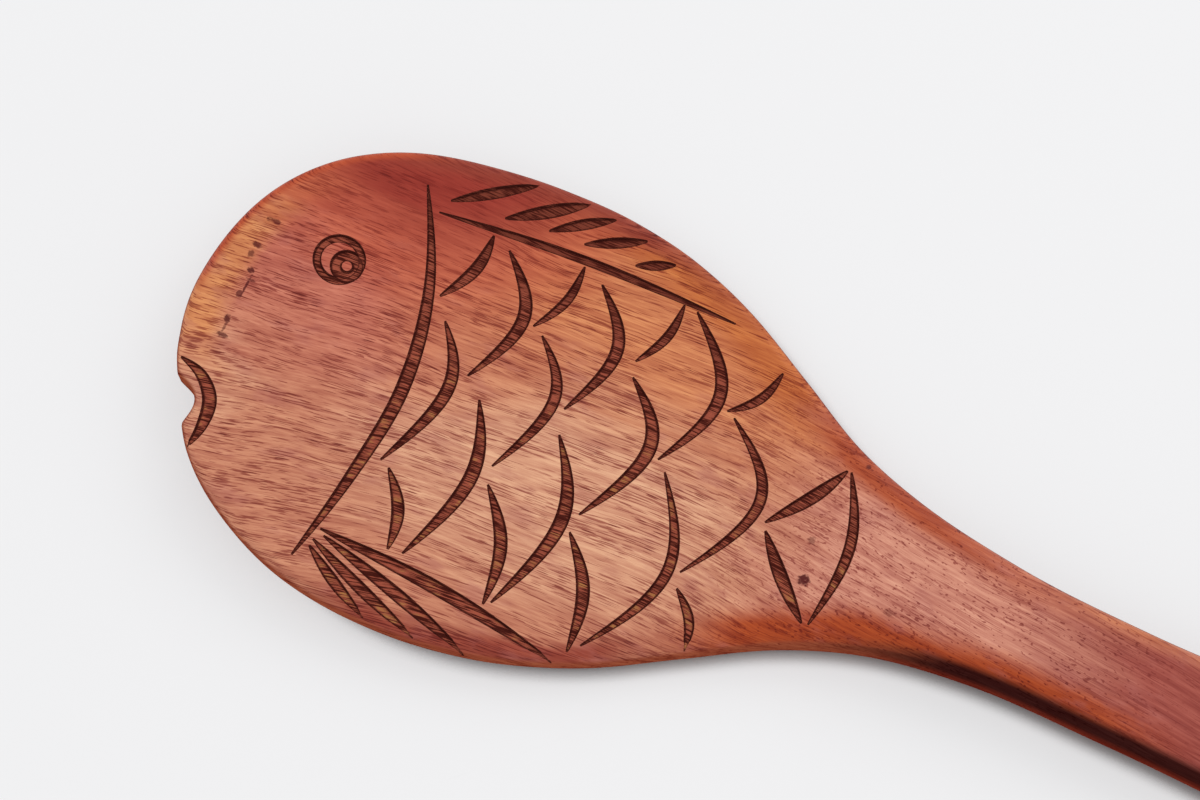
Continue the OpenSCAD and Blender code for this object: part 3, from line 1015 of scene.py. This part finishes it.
class SPOON_OT_lines(Operator):
    """Makes the burnt linings of the mouth, the gill, the fins, the scales and the tail"""

    bl_idname = "spoon.lines"
    bl_label = "Burnt lines"

    def execute(self, context):
        sizes = context.scene.spoon_sizes
        board = Board(sizes)
        finish = burnt_finish("burnt_floors", context.scene.spoon_colours, True)
        for name, group in LINE_GROUPS.items():
            grooves = [line_groove(board, sizes, line) for line in group]
            make_lining(board, name, grooves, finish)
        return {"FINISHED"}


class SPOON_OT_eye(Operator):
    """Makes the burnt lining of the eye's ring and iris"""

    bl_idname = "spoon.eye"
    bl_label = "Burnt eye"

    def execute(self, context):
        sizes = context.scene.spoon_sizes
        board = Board(sizes)
        finish = burnt_finish("burnt_eye", context.scene.spoon_colours, True)
        make_lining(board, "eye", eye_grooves(board, sizes), finish)
        return {"FINISHED"}


# Edges sharper than these are shaded sharp, and points of the carved board nearer than this are merged
SHARP_BOARD = math.radians(20)
SHARP_LINING = math.radians(40)
MERGED_WITHIN = 0.001 * MM


def carve(board, piece, sets):
    """Cuts each set of grooves out of a piece in turn, with burnt walls, and leaves clean triangles."""
    cutters = []
    for number, grooves in enumerate(sets):
        name = f"cutter_{number}"
        shapes = joined([swept(board, groove, cutter_profile()) for groove in grooves])
        mesh = made_mesh(name, board, *shapes)
        for material in piece.data.materials:
            mesh.materials.append(material)
        mesh.polygons.foreach_set("material_index", np.ones(len(mesh.polygons), dtype=np.int32))
        cutter = made_object(name, mesh)
        cutters.append(cutter)
        cut = piece.modifiers.new(name, "BOOLEAN")
        cut.operation = "DIFFERENCE"
        cut.solver = "MANIFOLD"
        cut.object = cutter
    graph = bpy.context.evaluated_depsgraph_get()
    carved = bpy.data.meshes.new_from_object(piece.evaluated_get(graph))
    piece.modifiers.clear()
    triangles = bmesh.new()
    triangles.from_mesh(carved)
    bmesh.ops.triangulate(triangles, faces=triangles.faces)
    bmesh.ops.dissolve_degenerate(triangles, dist=MERGED_WITHIN, edges=triangles.edges)
    bmesh.ops.triangulate(triangles, faces=triangles.faces)
    triangles.to_mesh(carved)
    triangles.free()
    piece.data = carved
    carved.name = piece.name
    carved.shade_smooth()
    carved.set_sharp_from_angle(angle=SHARP_BOARD)
    for cutter in cutters:
        bpy.data.objects.remove(cutter)


def mark_rim(board, mesh):
    """Keeps each point's distance from the outline, in millimetres, for the wood's finish."""
    points = np.empty(len(mesh.vertices) * 3, dtype=np.float32)
    mesh.vertices.foreach_get("co", points)
    plan = points.reshape(-1, 3)[:, :2] / MM + [board.length / 2, 0]
    rim = mesh.attributes.new("rim", "FLOAT", "POINT")
    rim.data.foreach_set("value", board.inside(plan).astype(np.float32))


def make_lining(board, name, grooves, finish):
    """One feature's burnt lining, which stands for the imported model's burnt skins of that feature."""
    shapes = joined([swept(board, groove, lining_profile()) for groove in grooves])
    mesh = made_mesh(name + "_lining", board, *shapes)
    burn = mesh.attributes.new("burn", "FLOAT", "POINT")
    burnt = np.concatenate([groove.burn() for groove in grooves])
    burn.data.foreach_set("value", burnt.astype(np.float32))
    mesh.materials.append(finish)
    mesh.set_sharp_from_angle(angle=SHARP_LINING)
    piece = made_object(name + "_lining", mesh)
    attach(piece, "root")
    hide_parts(name + "_burn")


# The camera's place and what it looks at, in the frame
CAMERA_PLACE = Vector((-0.00345, -0.08965, 0.29779))
CAMERA_TARGET = Vector((-0.04887, 0.00877, 0))
SENSOR_WIDTH = 36

# The table: half its side, and how far it lies below the spoon
TABLE_REACH = 3
TABLE_GAP = 0.03 * MM

# The shadow close to the spoon: its reach, the share of the table's colour that is left where it is deepest,
# and the two shares of open sky between which it fades
CONTACT_REACH = 3.2 * MM
CONTACT_SHARE = 0.45
CONTACT_SKY = (0.45, 0.85)
CONTACT_SAMPLES = 8

# The softbox: its place, what it points at, and its sides
SOFTBOX_PLACE = Vector((0.2, 0.75, 0.66))
SOFTBOX_TARGET = Vector((-0.04, 0, 0))
SOFTBOX_SIDES = (0.8, 0.56)


def facing(place, target):
    """The placement of a camera or a lamp that looks from a place to a target."""
    turn = (target - place).to_track_quat("-Z", "Y").to_matrix().to_4x4()
    return Matrix.Translation(place) @ turn


def make_camera(stage):
    """A camera at the photograph's angle, about 70 degrees above the table."""
    camera = bpy.data.cameras.new("camera")
    camera.lens = stage.lens
    camera.sensor_width = SENSOR_WIDTH
    camera.clip_start = 0.01
    camera.clip_end = 20
    held = made_object("camera", camera)
    held.matrix_world = facing(CAMERA_PLACE, CAMERA_TARGET)
    bpy.context.scene.camera = held


def make_table(stage):
    """A wide pale plane just under the spoon, darker where the spoon shuts out the sky."""
    corners = [(-1, -1), (1, -1), (1, 1), (-1, 1)]
    mesh = bpy.data.meshes.new("table")
    mesh.from_pydata([(x * TABLE_REACH, y * TABLE_REACH, -TABLE_GAP) for x, y in corners], [], [(0, 1, 2, 3)])
    table = made_object("table", mesh)
    finish = Finish(bpy.data.materials.new("table"))
    occlusion = {"samples": CONTACT_SAMPLES}
    open_sky = finish.node("ShaderNodeAmbientOcclusion", occlusion, {"Distance": CONTACT_REACH}, "AO")
    clear = finish.rise(open_sky, *CONTACT_SKY)
    tone = finish.blend(clear, tuple(part * CONTACT_SHARE for part in stage.table), tuple(stage.table))
    plain = finish.node("ShaderNodeBsdfDiffuse", inputs={"Color": tone})
    bright = finish.node("ShaderNodeEmission", inputs={"Color": tone})
    camera, glossy, transmission = (
        finish.node("ShaderNodeLightPath", output=f"Is {kind} Ray")
        for kind in ("Camera", "Glossy", "Transmission")
    )
    seen = (camera + glossy + transmission) * clear * stage.glow
    mesh.materials.append(finish.mixed_end(seen, plain, bright))


def make_lamps(stage):
    """An even room and one softbox high above the back, as in the photograph."""
    room = bpy.data.worlds.new("room")
    bpy.context.scene.world = room
    finish = Finish(room)
    light = finish.node("ShaderNodeBackground", inputs={"Color": (1, 1, 1, 1), "Strength": stage.sky})
    finish.end("ShaderNodeOutputWorld", light)

    lamp = bpy.data.lights.new("softbox", "AREA")
    lamp.shape = "RECTANGLE"
    lamp.size, lamp.size_y = SOFTBOX_SIDES
    lamp.energy = stage.key
    held = made_object("softbox", lamp)
    held.matrix_world = facing(SOFTBOX_PLACE, SOFTBOX_TARGET)


class SPOON_PT_sidebar(Panel):
    """The spoon's sizes and colours, and the operators that make it"""

    bl_label = "Fish rice spoon"
    bl_idname = "SPOON_PT_sidebar"
    bl_space_type = "VIEW_3D"
    bl_region_type = "UI"
    bl_category = "Spoon"

    def draw(self, context):
        for group in (context.scene.spoon_sizes, context.scene.spoon_colours, context.scene.spoon_stage):
            box = self.layout.box()
            for name in group.bl_rna.properties.keys():
                if name not in ("rna_type", "name"):
                    box.prop(group, name)
        for operator in OPERATORS:
            self.layout.operator(operator.bl_idname)


OPERATORS = (SPOON_OT_stage, SPOON_OT_board, SPOON_OT_lines, SPOON_OT_eye)
CLASSES = (SpoonSizes, SpoonColours, StageSettings, *OPERATORS, SPOON_PT_sidebar)


def register():
    """Adds the classes and the scene's settings."""
    for added in CLASSES:
        bpy.utils.register_class(added)
    bpy.types.Scene.spoon_sizes = PointerProperty(type=SpoonSizes)
    bpy.types.Scene.spoon_colours = PointerProperty(type=SpoonColours)
    bpy.types.Scene.spoon_stage = PointerProperty(type=StageSettings)


def unregister():
    """Takes them out again."""
    del bpy.types.Scene.spoon_stage
    del bpy.types.Scene.spoon_colours
    del bpy.types.Scene.spoon_sizes
    for added in reversed(CLASSES):
        bpy.utils.unregister_class(added)


def main():
    """Makes the stage and the spoon."""
    register()
    bpy.ops.spoon.stage()
    bpy.ops.spoon.board()
    bpy.ops.spoon.lines()
    bpy.ops.spoon.eye()


if __name__ == "__main__":
    main()
